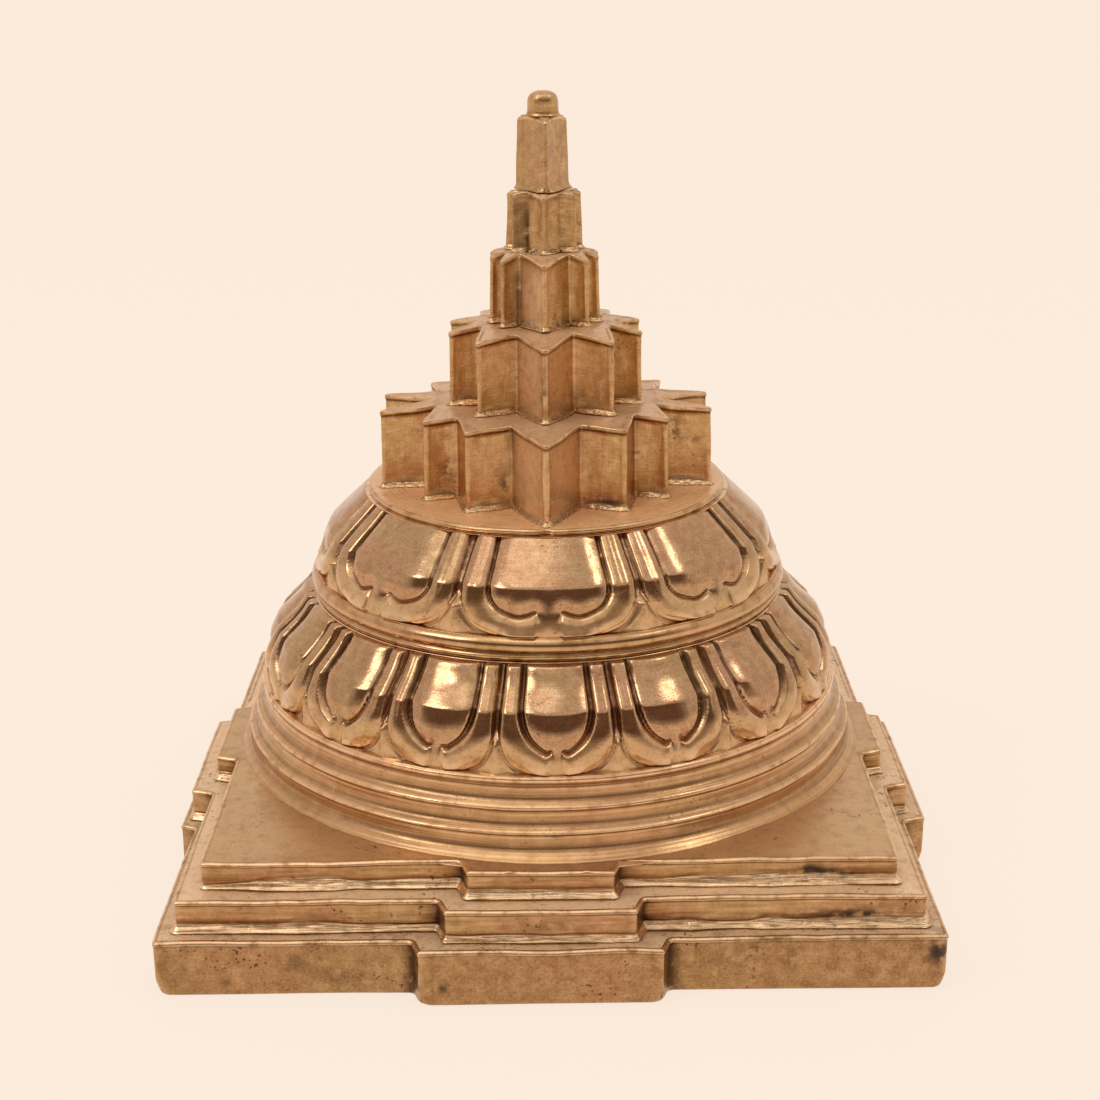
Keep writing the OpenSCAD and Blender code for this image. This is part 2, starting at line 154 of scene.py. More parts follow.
# Outline with rounded corners, counter-clockwise: an arc at each corner and straight runs between.
# Gives the points, their outward normals, whether the line turns out (1) or in (-1) there, and how far
# a point is inside a straight run (1 at its middle, 0 at its ends).
def roundOutline(corners, radii, spacing, arcSteps):
    before = corners - np.roll(corners, 1, 0)
    before /= np.linalg.norm(before, axis=1)[:, None]
    after = np.roll(before, -1, 0)
    turn = np.arctan2(before[:, 0] * after[:, 1] - before[:, 1] * after[:, 0], (before * after).sum(1))
    reach = radii * np.tan(np.abs(turn) / 2)
    points, normals, bends, middles = [], [], [], []
    for k in range(len(corners)):
        side = math.copysign(1, turn[k])
        angle = turn[k] * np.linspace(0, 1, arcSteps + 1)
        outIn = np.array([before[k, 1], -before[k, 0]])
        normal = np.stack([outIn[0] * np.cos(angle) - outIn[1] * np.sin(angle),
                           outIn[0] * np.sin(angle) + outIn[1] * np.cos(angle)], 1)
        centre = corners[k] - before[k] * reach[k] - outIn * radii[k] * side
        arc = centre + normal * radii[k] * side
        following = (k + 1) % len(corners)
        end = corners[following] - after[k] * reach[following]
        steps = max(2, round(np.linalg.norm(end - arc[-1]) / spacing))
        share = np.arange(1, steps) / steps
        run = arc[-1] + (end - arc[-1]) * share[:, None]
        points += [arc, run]
        normals += [normal, np.repeat(normal[-1:], steps - 1, 0)]
        bends += [np.full(arcSteps + 1, side), np.zeros(steps - 1)]
        middles += [np.zeros(arcSteps + 1), np.sin(np.pi * share)]
    return [np.concatenate(part) for part in (points, normals, bends, middles)]


# Spread of a value at corners along the outline, so that wear fades away from an edge
def soften(values, steps):
    for _ in range(steps):
        values = (np.roll(values, 1) + 2 * values + np.roll(values, -1)) / 4
    return values


# Surface of revolution: each ring is a circle of one profile point, from the back round by the left
def latheRings(radius, height, count, turn=0.0):
    angle = math.pi + math.radians(turn) + np.arange(count) * 2 * np.pi / count
    return np.stack([radius[:, None] * np.sin(angle), -radius[:, None] * np.cos(angle),
                     np.repeat(height[:, None], count, 1)], -1)


# Curve through control points by Catmull-Rom pieces, evenly stepped between each pair
def smoothCurve(points, steps):
    points = np.array(points, float)
    padded = np.concatenate([points[:1] * 2 - points[1:2], points, points[-1:] * 2 - points[-2:-1]])
    share = np.arange(steps)[:, None] / steps
    a, b, c, d = (padded[k:len(points) - 1 + k, None] for k in range(4))
    curve = 0.5 * (2 * b + (c - a) * share + (2 * a - 5 * b + 4 * c - d) * share ** 2
                   + (3 * b - a - 3 * c + d) * share ** 3)
    return np.concatenate([curve.reshape(-1, 2), points[-1:]])


# How hollow (positive) or proud (negative) a profile is: its mid-chord offset against its normal
def profileHollow(profile, reach):
    far = np.pad(profile, ((reach, reach), (0, 0)), mode="edge")
    middle = (far[:-2 * reach] + far[2 * reach:]) / 2 - profile
    along = far[2 * reach:] - far[:-2 * reach]
    normal = np.stack([along[:, 1], -along[:, 0]], 1)
    return (middle * normal).sum(1) / np.maximum(np.linalg.norm(normal, axis=1), 1e-6)


# Materials

# Hex sRGB to linear: a straight toe, then a power of 2.4
def linear(hexColour):
    srgb = np.array([int(hexColour[k:k + 2], 16) for k in (1, 3, 5)]) / 255
    return (*np.where(srgb <= 0.04045, srgb / 12.92, ((srgb + 0.055) / 1.055) ** 2.4), 1.0)


def emptyTree(owner):
    owner.use_nodes = True
    owner.node_tree.nodes.clear()
    return owner.node_tree


# Adds a node: inputs are values, or sockets to link, and settings are its properties; gives one of its outputs
def addNode(tree, kind, inputs, take=0, **settings):
    node = tree.nodes.new("ShaderNode" + kind)
    for key, value in settings.items():
        setattr(node, key, value)
    for key, value in inputs.items():
        if isinstance(value, bpy.types.NodeSocket):
            tree.links.new(value, node.inputs[key])
        else:
            node.inputs[key].default_value = value
    return node.outputs[take] if len(node.outputs) else node


# Cast bronze, rich in copper, filed and hand polished, then left to tarnish in its hollows.
# To the eye: a warm satin metal with rosy and olive clouds, brown pits, bright worn edges and
# pale torn chisel marks.
# Its traces also lay painted light: a lighter copper on faces that lie level and on the lotus lobes, painted
# highlights with the bright worn tone, and painted shade with the umber tarnish.
def castBronze(name, look):
    material = bpy.data.materials.new(name)
    tree = emptyTree(material)
    place = addNode(tree, "TexCoord", {}, "Object")
    sheet = addNode(tree, "UVMap", {}, uv_map="surface")
    worked = {key: addNode(tree, "Attribute", {}, "Fac", attribute_name=key) for key in traces}

    # noise patterns: coordinates and their unit, cell size along each axis, detail
    noise = {}
    for key, (at, unit, size, detail) in {
        "clouds": (place, mm, [look["clouds"]] * 3, 3.0),
        "mottle": (place, mm, [look["mottle"]] * 3, 5.0),
        "grain": (place, mm, [look["grain"]] * 3, 2.0),
        "groups": (place, mm, [look["pitGroup"]] * 3, 2.0),
        "specks": (place, mm, [look["pit"]] * 3, 1.0),
        "marks": (sheet, 1, look["marks"], 3.0),
        "crossed": (sheet, 1, look["crossed"], 2.0),
        "torn": (sheet, 1, look["torn"], 3.0),
    }.items():
        spot = addNode(tree, "Mapping", {"Vector": at, "Scale": [1 / (step * unit) for step in size]})
        noise[key] = addNode(tree, "TexNoise", {"Vector": spot, "Scale": 1.0, "Detail": detail})

    # shares from 0: pattern, where it starts, where it is full, and the most it reaches
    share = {}
    for key, (source, low, high, most) in {
        "rosy": (noise["clouds"], 0.36, 0.64, 1.0),
        "brown": (noise["mottle"], 0.46, 0.72, look["brownShare"]),
        "light": (noise["mottle"], 0.5, 0.3, look["lightShare"]),
        "filed": (noise["marks"], 0.5, 0.72, look["markShare"]),
        "ruled": (noise["crossed"], 0.5, 0.75, look["crossShare"]),
        "gleam": (noise["marks"], 0.46, 0.28, look["gleam"]),
        "pit": (noise["specks"], 0.62, 0.72, 1.0),
        "group": (noise["groups"], look["pitFrom"], 0.66, look["pitShare"]),
        "patchy": (noise["mottle"], 0.12, 0.5, 1.0),
        "blotch": (noise["mottle"], 0.38, 0.56, 1.0),
        "kept": (noise["mottle"], 0.72, 0.45, 1.0),
        "torn": (noise["torn"], 0.47, 0.58, look["tornShare"]),
        "dark": (noise["grain"], 0.5, 0.72, look["sandShare"]),
        "pale": (noise["grain"], 0.48, 0.28, look["sandShare"]),
    }.items():
        share[key] = addNode(tree, "MapRange", {0: source, 1: low, 2: high, 3: 0.0, 4: most},
                             interpolation_type="SMOOTHSTEP")
    # file marks and ruled lines fade where a face lies level, but not where the level trace is only a thin share of
    # painted light, which is 0.26 or less
    share["upright"] = addNode(tree, "MapRange", {0: worked["level"], 1: 0.26, 2: 0.3, 3: 1.0,
                                                  4: look["levelMarks"]})
    for key, (first, second) in {
        "filed": (share["filed"], share["upright"]),
        "ruled": (share["ruled"], share["upright"]),
        "gleam": (share["gleam"], share["upright"]),
        "pits": (share["pit"], share["group"]),
        "tarnish": (worked["hollow"], share["patchy"]),
        "stained": (worked["stain"], share["blotch"]),
        "wornAndSheen": (worked["rim"], share["kept"]),
        "ragged": (worked["chisel"], share["torn"]),
        "cut": (worked["chisel"], noise["torn"]),
    }.items():
        share[key] = addNode(tree, "Math", {0: first, 1: second}, operation="MULTIPLY")

    colour = linear(look["olive"])
    share["level"] = worked["level"]
    # the copper tone where the level trace is set is painted light, the bright tone also lays painted highlights,
    # and the umber tone painted shade
    for key, tone in (("rosy", "rosy"), ("level", "litCopper"), ("light", "light"), ("brown", "brown"),
                      ("filed", "brown"), ("ruled", "brown"), ("gleam", "bright"), ("dark", "brown"),
                      ("pale", "light"), ("pits", "umber"), ("tarnish", "umber"), ("stained", "black"),
                      ("wornAndSheen", "bright"), ("ragged", "pale")):
        colour = addNode(tree, "Mix", {0: share[key], 6: colour, 7: linear(look[tone])}, 2, data_type="RGBA")
    roughness = look["roughness"]
    for source, amount in ((noise["mottle"], look["roughSpread"]), (share["tarnish"], 0.2),
                           (share["stained"], 0.2), (worked["chisel"], -0.08),
                           (worked["level"], look["levelRough"])):
        roughness = addNode(tree, "Math", {0: source, 1: amount, 2: roughness}, operation="MULTIPLY_ADD")
    relief = 0.0
    for source, depth in ((noise["marks"], look["markDepth"]), (noise["crossed"], look["crossDepth"])):
        relief = addNode(tree, "Math", {0: source, 1: depth, 2: relief}, operation="MULTIPLY_ADD")
    relief = addNode(tree, "Math", {0: relief, 1: share["upright"]}, operation="MULTIPLY")
    for source, depth in ((noise["grain"], look["grainDepth"]), (share["pits"], -look["pitDepth"]),
                          (share["cut"], look["tornDepth"])):
        relief = addNode(tree, "Math", {0: source, 1: depth, 2: relief}, operation="MULTIPLY_ADD")
    bump = addNode(tree, "Bump", {"Height": relief, "Strength": 1.0, "Distance": mm})
    # where the level trace is set (faces that lie level, and the lobes and sheen patches given the same mark) the
    # metal turns less metallic; with the lighter copper tone above, this is painted light that lifts those faces
    metallic = addNode(tree, "Math", {0: worked["level"], 1: -look["levelFilm"], 2: 1.0}, operation="MULTIPLY_ADD")
    shader = addNode(tree, "BsdfPrincipled", {"Base Color": colour, "Metallic": metallic,
                                              "Roughness": roughness, "Normal": bump})
    addNode(tree, "OutputMaterial", {0: shader})
    return material


# Tones are sRGB. Clouds, mottle, grain, pit and pitGroup are cell sizes in mm, marks, crossed and torn are cell
# sizes along the surface map, depths are in mm and shares run from 0 to 1.
bronzeLook = {
    "olive": "#b8925f", "rosy": "#c09066", "light": "#d3b084", "brown": "#8f6039", "umber": "#3f2412",
    "black": "#4a4038", "bright": "#f0c79c", "pale": "#ffe4bd", "litCopper": "#e4b080",
    "lightShare": 0.3, "grainDepth": 0.008, "pit": 0.6, "pitFrom": 0.52,
    "torn": (2, 0.3, 1), "tornShare": 0.5, "tornDepth": 0.1,
}
plinthLook = dict(
    bronzeLook, olive="#b38d5f", rosy="#bb8d64", litCopper="#f4cda2",
    clouds=14, mottle=1.7, brownShare=0.45, grain=0.34, sandShare=0.45, grainDepth=0.018,
    marks=(10, 0.4, 1), markShare=0.14, gleam=0.1, markDepth=0.03,
    crossed=(0.5, 4, 1), crossShare=0.06, crossDepth=0.008,
    pitGroup=7, pitFrom=0.42, pitShare=0.75, pitDepth=0.07,
    torn=(3.5, 0.16, 1), tornShare=0.7, tornDepth=0.12,
    roughness=0.17, roughSpread=0.26, levelRough=0.05, levelFilm=0.8, levelMarks=0.15,
)
stepLook = dict(
    plinthLook, olive="#c29c6b", brownShare=0.3, sandShare=0.22, pitFrom=0.5, tornShare=0.9,
    marks=(7, 0.5, 1), markShare=0.45, gleam=0.45, markDepth=0.045,
)
turnedLook = dict(
    bronzeLook, litCopper="#ffc48c",
    clouds=16, mottle=1.8, brownShare=0.25, grain=0.3, sandShare=0.16,
    marks=(30, 0.3, 1), markShare=0.45, gleam=0.5, markDepth=0.03,
    crossed=(6, 0.18, 1), crossShare=0.28, crossDepth=0.008,
    pitGroup=6, pitShare=0.35, pitDepth=0.04,
    roughness=0.11, roughSpread=0.16, levelRough=0.1, levelFilm=0.85, levelMarks=0.7,
)
polishedLook = dict(
    bronzeLook, olive="#bb966d", rosy="#c19370", light="#d6b590", litCopper="#e6bb84",
    clouds=8, mottle=1.3, brownShare=0.32, lightShare=0.35, grain=0.26, sandShare=0.36,
    marks=(7, 0.5, 1), markShare=0.12, gleam=0.15, markDepth=0.008,
    crossed=(0.7, 2.5, 1), crossShare=0.06, crossDepth=0.004,
    pit=0.42, pitGroup=4, pitShare=0.45, pitDepth=0.03,
    roughness=0.08, roughSpread=0.16, levelRough=0.04, levelFilm=0.5, levelMarks=1.0,
)
tierLook = dict(
    bronzeLook, olive="#c9a16c", rosy="#cd9d70", light="#e0c193", brown="#99693c", litCopper="#e5b88e",
    clouds=8, mottle=1.2, brownShare=0.3, grain=0.26, sandShare=0.3, grainDepth=0.02,
    marks=(2.4, 0.2, 1), markShare=0.25, gleam=0.25, markDepth=0.02,
    crossed=(0.3, 4, 1), crossShare=0.3, crossDepth=0.012,
    pit=0.5, pitGroup=4, pitShare=0.5, pitDepth=0.05,
    torn=(0.8, 0.2, 1), tornShare=1.0, tornDepth=0.16,
    roughness=0.2, roughSpread=0.2, levelRough=0.02, levelFilm=0.7, levelMarks=0.8,
)
plinthBronze = castBronze("sand cast bronze, filed", plinthLook)
stepBronze = castBronze("sand cast bronze, chiselled", stepLook)
turnedBronze = castBronze("cast bronze, lathe turned", turnedLook)
polishedBronze = castBronze("cast bronze, carved and polished", polishedLook)
tierBronze = castBronze("cast bronze, file dressed", tierLook)
print("materials ready")


# Plinth: three square steps, each with a gate in the middle of every side
plinth = {
    "cheek": 1.0,  # sloped side of a gate
    "gateOut": 3.2,
    "frontX": -1.2,  # front gates sit a little left
    "cornerRound": 0.8,
    "gateRound": 0.6,
    "hollowRound": 0.5,  # where a gate meets its face
    "edgeRound": 0.55,  # worn top edge
    "lip": 0.16,  # how far that edge stands out over the wall
    "lowRound": (0.5, 1.3),  # bottom edge of the slab: how far in and how far up
    "cornerTuck": 0.8,  # and how far its lower corners draw in towards the axis
    "spacing": 0.33,
    "wave": 0.13,  # unevenness of hand filed faces
}
# Each step: gate widths, place of the side gates, torn foot, how far its faces stand proud, gates that stand out
# less by side, and the painted light on its top, a lighter copper tone and a duller finish
steps = {
    "plinth_slab": {
        "front": 31, "side": 34.5, "sideY": 0, "foot": 0, "proud": 0.25, "outs": {3: (1.9, 2.4)},
        "paintedLight": 1.0, "dull": 0.1,
        "stains": [(-16.9, 5.6, 0.35, 1.2, 1.4), (-16.9, 3.2, 0.35, 0.9, 1.4), (-13.6, 2.6, 1.7, 0.6, 0.8),
                   (-32, 5, 2, 1.5, 0.35), (-45.5, 4, 0.8, 0.6, 0.5), (-41, 2, 0.8, 0.5, 0.4),
                   (49.3, 5.4, 2.0, 1.8, 1.3), (30, 4.6, 1.2, 1, 0.4), (14.6, 4.5, 0.4, 3, 0.5),
                   (23, 5, 4, 2, 0.2), (-25, 2.5, 5, 1.5, 0.2)],
    },
    "middle_step": {
        "front": 24.3, "side": 25, "sideY": -3, "foot": 0.6, "proud": 0.1, "outs": {}, "paintedLight": 1.0,
        "stains": [(38.6, 9.4, 5.0, 0.7, 1.2), (46.5, 8.9, 1.2, 0.4, 0.6), (-13.4, 10, 0.35, 1.5, 0.7),
                   (11.1, 10, 0.35, 1.5, 0.7), (1, 10, 5, 0.7, 0.35)],
    },
    "upper_step": {
        "front": 18.8, "side": 17.5, "sideY": -3, "foot": 0.6, "proud": 0.1, "outs": {}, "paintedLight": 0.3,
        "drops": [(-5.1, 0.42), (4.6, 0.36)],  # casting drops on the front gate's top edge: x and size
        "stains": [(33, 14.2, 1.6, 0.7, 1.2), (36, 13.4, 2.6, 0.7, 1.2), (-11, 14, 0.35, 1.2, 0.7),
                   (8.4, 14, 0.4, 1.4, 0.8), (-20, 12.7, 8, 0.25, 0.5)],
    },
}


# Square outline with gates: back, left, front and right sides in turn. Shrink is what the gates keep of their
# reach where the faces stand proud.
def stepCorners(half, step, shrink):
    cheek = plinth["cheek"]
    corners = []
    for side in (2, 3, 0, 1):
        reach = (step["front"] if side % 2 == 0 else step["side"]) / 2
        x = [plinth["frontX"], step["sideY"], 0, -step["sideY"]][side]
        outs = np.array(step["outs"].get(side, (plinth["gateOut"],) * 2)) * shrink
        line = np.array([[-half, -half], [x - reach - cheek, -half], [x - reach, -half - outs[0]],
                         [x + reach, -half - outs[1]], [x + reach + cheek, -half]])
        c, s = round(math.cos(side * math.pi / 2)), round(math.sin(side * math.pi / 2))
        corners.append(line @ np.array([[c, s], [-s, c]]))
    return np.concatenate(corners)


# Step body: the outline carried up a section. The section is, from below, a flat underside, a foot that is
# rounded or torn into ragged lines, an uneven wall, a quarter round edge, and a top that closes to the middle.
def stepBody(node, step, seat, seed):
    high = boxOf(node)[1]
    top, tall = high[2], high[2] - seat
    face = high[0] - plinth["gateOut"]
    half = face + step["proud"]
    shrink = (plinth["gateOut"] - step["proud"]) / plinth["gateOut"]
    corners = stepCorners(half, step, shrink)
    rounds = ("cornerRound", "hollowRound", "gateRound", "gateRound", "hollowRound")
    radii = np.tile([plinth[key] for key in rounds], 4)
    outline, normal, bend, _ = roundOutline(corners, radii, plinth["spacing"], 6)
    count = len(outline)
    convex = soften(np.clip(bend, 0, 1), 6)
    concave = soften(np.clip(-bend, 0, 1), 8)
    edge, foot = plinth["edgeRound"], step["foot"]
    arc = np.linspace(0, np.pi / 2, 7)[1:]
    inward = np.array([0.9965, 0.993, 0.988, 0.982, 0.975, 0.965, 0.955, 0.945, 0.93, 0.9, 0.85, 0.7, 0.4])
    if foot == 0:
        turn = np.linspace(0, np.pi / 2, 7)[:-1]
        inset, low = plinth["lowRound"]
        rise = np.concatenate([np.linspace(low, tall - 1.2, 18)[:-1],
                               np.linspace(tall - 1.2, tall - edge, 10)])
        offset = np.concatenate([[-6], -inset * (1 - np.sin(turn)), 0 * rise, -edge * (1 - np.cos(arc))])
        height = np.concatenate([[0], low * (1 - np.cos(turn)), rise, tall - edge + edge * np.sin(arc)])
        offset, reachUp = offset[:, None] + np.zeros(count), np.ones(count)
        chisel = 0 * offset
        tuck = plinth["cornerTuck"] * convex * ease(height, 2.6, 0)[:, None]
    else:
        rise = np.concatenate([np.linspace(0, 2 * foot, 18)[:-1], np.linspace(2 * foot, tall - 1.1, 6)[:-1],
                               np.linspace(tall - 1.1, tall - edge, 10)])
        # the foot's height comes and goes along the face, under a line cut above it
        flat = np.pad(outline, ((0, 0), (0, 1)))
        reachUp = foot * (1.05 + 0.5 * lumps(flat, 11, seed + 7) + 0.25 * lumps(flat, 3.5, seed + 11))
        flare = reachUp * np.clip(1 - rise[:, None] / (1.4 * reachUp), 0, 1) ** 1.6
        flare -= 0.1 * bell(rise[:, None] - 1.5 * reachUp, 0.12)
        offset = np.concatenate([np.full((1, count), -3), flare,
                                 -edge * (1 - np.cos(arc))[:, None] + 0 * reachUp])
        height = np.concatenate([[0], rise, tall - edge + edge * np.sin(arc)])
        chisel = np.concatenate([0 * flare[:1], ease(rise[:, None], 1.5 * reachUp, 1.1 * reachUp),
                                 0 * offset[-len(arc):]])
        tuck = 0 * offset
    below = tall - height[:, None]
    offset = offset - plinth["lip"] * ease(below, 0.4, 0.75)
    shadow = 0.5 * bell(below - 0.62, 0.17) + 0.8 * bell(height[:, None] - 1.5 * reachUp, 0.12) * (foot > 0)
    wall = np.arange(len(offset)) > 0
    rim = np.concatenate([np.zeros(len(offset) - len(arc)), np.sin(2 * arc) ** 0.5])
    towards = outline / np.linalg.norm(outline, axis=1)[:, None]
    rings = np.concatenate([outline + normal * offset[..., None] - towards * tuck[..., None],
                            np.tile((seat + height)[:, None, None], (1, count, 1))], -1)
    level = (outline - normal * edge)[None] * inward[:, None, None]
    rings = np.concatenate([rings, np.concatenate([level, np.full((*level.shape[:2], 1), top)], -1)])
    chisel, shadow = (np.pad(part, ((0, len(inward)), (0, 0))) for part in (chisel, shadow + 0 * chisel))
    rim = np.append(rim, np.zeros(len(inward)))[:, None] * np.ones(count)
    live = np.append(wall, ease(np.arange(len(inward)), 6, 0))[:, None]
    # broad waves along the outward normal; at a torn foot, lines that wander along the face
    wave = plinth["wave"] * (lumps(rings * (0.5, 0.5, 1), 7, seed) - 1)
    lines = (lumps(rings * (0.04, 0.04, 1), 0.36, seed + 1)
             + 0.5 * lumps(rings * (0.15, 0.15, 1), 0.3, seed + 2))
    rough = ease(lumps(rings * (1, 1, 0), 9, seed + 5), 0.1, 0.7)
    streak = lumps(rings * (0.15, 0.15, 1), 1.2, seed + 6)
    wave = wave + chisel * (0.09 * lines + 0.12 * rough * lumps(rings * (0.6, 0.6, 1), 0.5, seed + 4))
    rings[..., :2] += normal * (wave * live)[..., None]
    # the top has sunk a little, in long and short waves
    settle = (0.15 * (lumps(rings * (1, 1, 0), 9, seed + 3) - 1)
              + 0.06 * (lumps(rings * (1, 1, 0), 2.6, seed + 8) - 1))
    share = (rings[..., 2] - seat) / tall
    rings[..., 2] += settle * ease(share, 0.5, 1)
    for x, size in step.get("drops", []):
        front = rings - (x, -half - plinth["gateOut"] * shrink + 0.1, top - 0.1)
        rings[..., 2] += size * bell(np.linalg.norm(front, axis=-1), 0.45)
    # brown streaks along the lower wall, above a torn foot
    streaks = ease(lumps(rings * (0.07, 0.07, 1), 0.42, seed + 9), 0.05, 0.5) * ease(share, 0.75, 0.4)
    streaks = streaks * (chisel < 0.5) * live
    values = {
        "rim": rim * 0.8 + convex * (share < 0.95) * live * 0.3 + 0.7 * chisel,
        "chisel": chisel * (0.4 + 0.6 * rough),
        "hollow": (concave * (share < 0.95) * live * 0.8 + shadow * (0.55 + 0.45 * streak) + step.get("dull", 0)
                   + 0.3 * streaks * (foot > 0)),
        # painted light on the top: a lighter copper tone and a duller finish
        "level": np.append(0 * wall, np.ones(len(inward)))[:, None] * step["paintedLight"],
        "stain": stainsAndLightAt(rings, step["stains"]) * ease(rings[..., 1], 5 - half, 1 - half),
    }
    return ringBody(node + "_cast", rings, values)


seatHeight = 0.0
for seed, (node, step) in enumerate(steps.items()):
    finishPiece(stepBody(node, step, seatHeight, 10 * seed + 3), node,
                stepBronze if step["foot"] else plinthBronze)
    seatHeight = topOf(node)


# Turned pieces: a profile of radius and height above the seat, carried round, a little out of true
def turnedPiece(node, material, turned, seat, seed):
    profile = smoothCurve(turned["profile"], 4)
    rings = latheRings(profile[:, 0], profile[:, 1] + seat, turned["count"])
    bend = profileHollow(profile, 3)[:, None]
    lean = lumps(rings * (1, 1, 0.6), 6, seed) * turned["wobble"]
    nick, nickR = turned.get("nick", (0, 0))
    lean -= nick * bell(rings[..., 0], 0.9) * (rings[..., 1] < 0) * (profile[:, :1] > nickR)
    rings[..., :2] *= 1 + (lean / np.maximum(profile[:, :1], 4))[..., None]
    # painted light: a level top, and the share given for the whole piece, take the lighter copper tone and a duller
    # finish
    level = (profile[:, :1] < turned.get("levelR", 0)) & (profile[:, 1:] > 0.1)
    values = {
        "hollow": bend * turned["tarnish"],
        "rim": -bend * turned["wear"],
        "stain": stainsAndLightAt(rings, turned.get("stains", [])),
        "level": np.maximum(level, turned.get("paintedLight", 0)),
    }
    finishPiece(ringBody(node + "_turned", rings, values), node, material)


ringTop = topOf("ring_moulding") - seatHeight
girdle = {
    # a thin share of painted light all over the girdle: a lighter copper tone and a duller finish
    "count": 600, "wobble": 0.07, "tarnish": 8, "wear": 20, "paintedLight": 0.25,
    "profile": [
        (30, -0.6), (45.5, -0.6), (45.3, -0.38), (45.0, -0.16), (44.72, 0.06),  # foot, sunk in the step
        (44.44, 0.28), (44.12, 0.5), (43.82, 0.75),  # foot's flare
        (43.62, 1.05), (43.48, 1.5), (43.42, 2.0), (43.4, 2.45), (43.38, 2.68),  # lowest cove
        (43.5, 2.8), (43.62, 2.95), (43.6, 3.12), (43.4, 3.3), (43.1, 3.46), (42.8, 3.66),  # second lip
        (42.58, 3.95), (42.45, 4.35), (42.38, 4.8), (42.35, 5.25), (42.32, 5.52),  # middle cove
        (42.42, 5.68), (42.55, 5.85), (42.55, 6.05), (42.38, 6.25), (42.1, 6.42), (41.8, 6.62),  # first lip
        (41.55, 6.9), (41.4, 7.3), (41.3, 7.8), (41.22, 8.3), (41.12, 8.62),  # upper cove
        (41.2, 8.82), (41.42, 9.1), (41.45, 9.45), (41.2, 9.74), (40.6, ringTop),  # top bead
        (36, ringTop), (20, ringTop),
    ],
    "stains": [(0, 18.7, 1.6, 0.3, 0.8), (-2, 22, 5, 0.25, 0.4)],
}
turnedPiece("ring_moulding", turnedBronze, girdle, seatHeight, 5)
seatHeight += ringTop

# Lotus: a bowl of revolution with one relief repeated round it. Across a petal, u runs from 0 at its middle to 1
# midway to the next; v runs from 0 at the foot to 1 at the top. Groove, tongue and border are lines of (u, v).
carving = {
    "bed": -0.35, "pillow": 0.75, "pillowReach": 1.5, "ribHigh": 1.15,  # panel and rib against the bowl
    "flare": 0.4, "flareTall": 1.8, "toe": 0.35,  # lobes at the foot: how far out, how high, and their round
    "leaf": 0.85, "sliver": 0.1, "leafLean": 0,  # leaf behind, at its foot and above, and how it leans out
    "paintedLight": 0.6,  # painted light on the lobes: a lighter copper tone and a duller finish
}
lowerLotus = dict(
    carving, petals=16, columns=68, rows=89, turn=1.5,
    bowl=[(40.4, 0), (40.5, 0.8), (40.55, 2.0), (40.48, 3.1), (40.28, 4.2), (39.95, 5.3), (39.5, 6.35),
          (39.0, 7.35), (38.82, 7.7), (38.5, 8.05), (37.4, 9.1), (36.3, 10.15), (35.4, 11.15), (34.7, 12.1),
          (34.4, 12.4)],
    groove=[(0.594, 1.03), (0.6, 0.8), (0.607, 0.657), (0.58, 0.545), (0.515, 0.43), (0.41, 0.335),
            (0.28, 0.265), (0.18, 0.225), (0.12, 0.235)],
    tongue=[(0.11, 0.2), (0.13, 0.09), (0.15, -0.06)],
    border=[(0.945, 1.03), (0.95, 0.6), (0.955, 0.46), (0.955, 0.39), (0.93, 0.3), (0.87, 0.2), (0.8, 0.125),
            (0.68, 0.055), (0.55, 0.015), (0.4, -0.04)],
    ribReach=3.0, lineDeep=0.6, lineTop=0.4, lineEnd=0.22, gapDeep=1.25, footGap=0.75,
)
upperLotus = dict(
    carving, petals=8, columns=116, rows=100, turn=0.3,
    bowl=[(32.5, 0), (32.52, 0.7), (32.36, 1.6), (32.04, 2.6), (31.72, 3.6), (31.35, 4.5), (30.95, 5.35),
          (30.72, 5.85), (30.45, 6.2), (29.45, 7.2), (28.4, 8.25), (27.3, 9.3), (26.15, 10.4), (25.4, 11.1)],
    groove=[(0.655, 1.03), (0.655, 0.8), (0.665, 0.55), (0.64, 0.41), (0.555, 0.3), (0.42, 0.235),
            (0.33, 0.212), (0.24, 0.225), (0.15, 0.262)],
    tongue=[(0.14, 0.23), (0.13, 0.13), (0.13, -0.06)],
    border=[(0.955, 1.03), (0.96, 0.8), (0.965, 0.55), (0.96, 0.42), (0.945, 0.32), (0.915, 0.235), (0.82, 0.11),
            (0.73, 0.05), (0.64, 0.012), (0.5, -0.04)],
    ribReach=3.2, lineDeep=0.5, lineTop=0.28, lineEnd=0.15, gapDeep=1.1, footGap=0.7, leafLean=0.16,
)


# Distance from each point to a line of straight pieces
def lineDistance(points, line):
    start, piece = line[:-1], np.diff(line, axis=0)
    away = points[..., None, :] - start
    share = np.clip((away * piece).sum(-1) / np.maximum((piece ** 2).sum(-1), 1e-9), 0, 1)
    return np.linalg.norm(away - share[..., None] * piece, axis=-1).min(-1)


# Whether each point lies inside a closed outline: an odd number of its edges are to the right
def insideOf(points, outline):
    x, y = points[..., :1], points[..., 1:]
    a, b = outline, np.roll(outline, -1, 0)
    climb = np.where(a[:, 1] == b[:, 1], 1, b[:, 1] - a[:, 1])
    crossing = a[:, 0] + (y - a[:, 1]) * (b[:, 0] - a[:, 0]) / climb
    return (((a[:, 1] > y) != (b[:, 1] > y)) & (x < crossing)).sum(-1) % 2 == 1


# Half a petal mirrored and repeated all round
def allRound(half, petals):
    return np.tile(np.concatenate([half, half[:, -2:0:-1]], 1), (1, petals))


